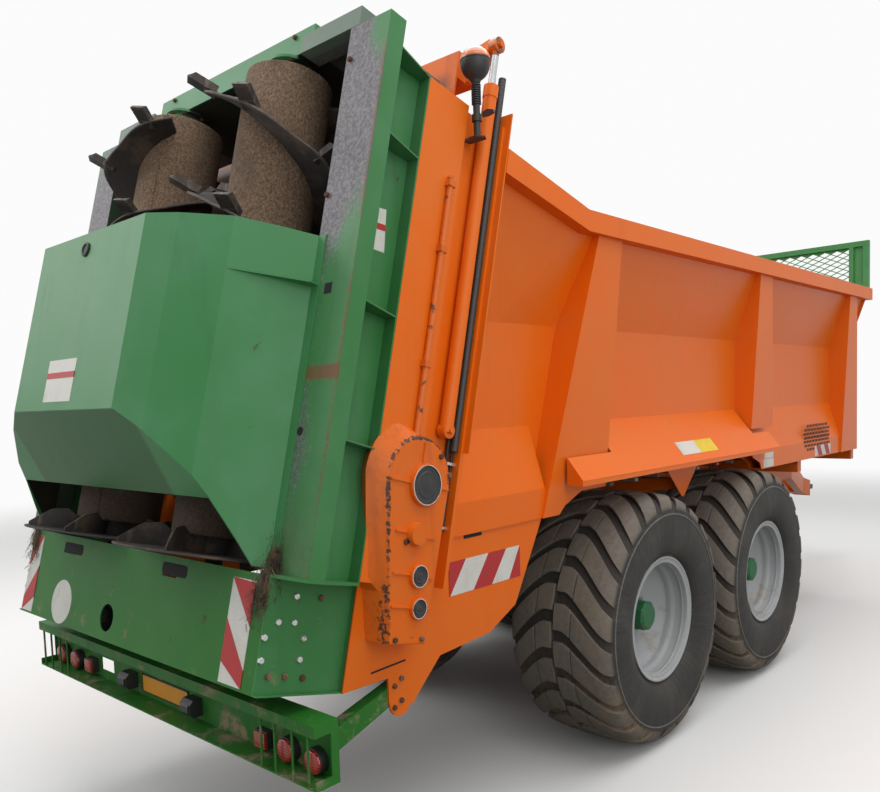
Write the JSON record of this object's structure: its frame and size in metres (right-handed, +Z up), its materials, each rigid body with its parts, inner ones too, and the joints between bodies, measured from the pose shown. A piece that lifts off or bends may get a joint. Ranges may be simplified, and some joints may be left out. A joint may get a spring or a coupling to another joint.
{
  "type": "manure spreader",
  "caption": "Tandem-axle farm trailer with a moving-floor tub, a sliding rear gate and upright spiral beaters behind it, on wide flotation tyres.",
  "frame": {"origin": "on the ground, under the middle of the object's bounding box", "axes": "+Y towards the tow eye (front), +X to the machine's right, +Z up"},
  "size_m": [2.5, 8.9802, 3.6405],
  "materials": {
    "orange_paint": "satin, dusty",
    "green_paint": "satin, worn",
    "silver_paint": "satin",
    "black_paint": "satin",
    "worn_steel": "worn, rusty",
    "chromed_rod": "polished",
    "tyre": "matt, dusty",
    "amber_plastic": "glossy",
    "red_plastic": "glossy"
  },
  "bodies": {
    "frame": {"chassis": "orange_paint", "drawbar": "orange_paint", "tub_floor": "orange_paint", "side_wall_right": "orange_paint", "side_wall_left": "orange_paint", "front_wall": "orange_paint", "mudguards": "orange_paint", "rear_frame_right": "orange_paint", "rear_frame_left": "orange_paint", "gate_barrels": "orange_paint", "gearcase": "orange_paint", "headboard": "green_paint", "beater_side_right": "green_paint", "beater_side_left": "green_paint", "top_beam": "green_paint", "tailboard": "green_paint", "hood": "green_paint", "bumper": "green_paint", "axles": "black_paint", "springs": "black_paint", "jack": "black_paint", "beater_gearbox": "black_paint", "pipes": "black_paint", "tow_eye": "worn_steel", "conveyor": "worn_steel", "conveyor_shaft": "worn_steel", "beacon": "amber_plastic", "lamps": "red_plastic"},
    "wheel_rear_right": {"hub_rear_right": "green_paint", "rim_rear_right": "silver_paint", "tyre_rear_right": "tyre"},
    "wheel_rear_left": {"hub_rear_left": "green_paint", "rim_rear_left": "silver_paint", "tyre_rear_left": "tyre"},
    "wheel_front_right": {"hub_front_right": "green_paint", "rim_front_right": "silver_paint", "tyre_front_right": "tyre"},
    "wheel_front_left": {"hub_front_left": "green_paint", "rim_front_left": "silver_paint", "tyre_front_left": "tyre"},
    "right_beater": {"beater_right": "worn_steel"},
    "left_beater": {"beater_left": "worn_steel"},
    "drive_line": {"drive_shaft": "worn_steel"},
    "sliding_gate": {"gate": "orange_paint", "gate_rods": "chromed_rod"}
  },
  "joints": [
    {"name": "wheel_rear_right_spin", "type": "hinge", "parent": "frame", "child": "wheel_rear_right", "pos_m": [0.93, -1.6709, 0.725], "axis": [1, 0, 0], "continuous": true},
    {"name": "wheel_rear_left_spin", "type": "hinge", "parent": "frame", "child": "wheel_rear_left", "pos_m": [-0.93, -1.6709, 0.725], "axis": [1, 0, 0], "continuous": true},
    {"name": "wheel_front_right_spin", "type": "hinge", "parent": "frame", "child": "wheel_front_right", "pos_m": [0.93, -0.1209, 0.725], "axis": [1, 0, 0], "continuous": true},
    {"name": "wheel_front_left_spin", "type": "hinge", "parent": "frame", "child": "wheel_front_left", "pos_m": [-0.93, -0.1209, 0.725], "axis": [1, 0, 0], "continuous": true},
    {"name": "beater_right_spin", "type": "hinge", "parent": "frame", "child": "right_beater", "pos_m": [0.435, -3.82023, 2.43209], "axis": [0, 0.2419, 0.9703], "continuous": true},
    {"name": "beater_left_spin", "type": "hinge", "parent": "frame", "child": "left_beater", "pos_m": [-0.435, -3.82023, 2.43209], "axis": [0, 0.2419, 0.9703], "continuous": true},
    {"name": "drive_spin", "type": "hinge", "parent": "frame", "child": "drive_line", "pos_m": [0, -0.6709, 1.045], "axis": [0, 1, 0], "continuous": true},
    {"name": "gate_slide", "type": "slide", "parent": "frame", "child": "sliding_gate", "axis": [0, 0.2419, 0.9703], "range_m": [0, 1.15]}
  ],
  "couplings": [
    {"joint": "beater_left_spin", "follows": "beater_right_spin", "ratio": -1},
    {"joint": "drive_spin", "follows": "beater_right_spin", "ratio": 2.5}
  ]
}
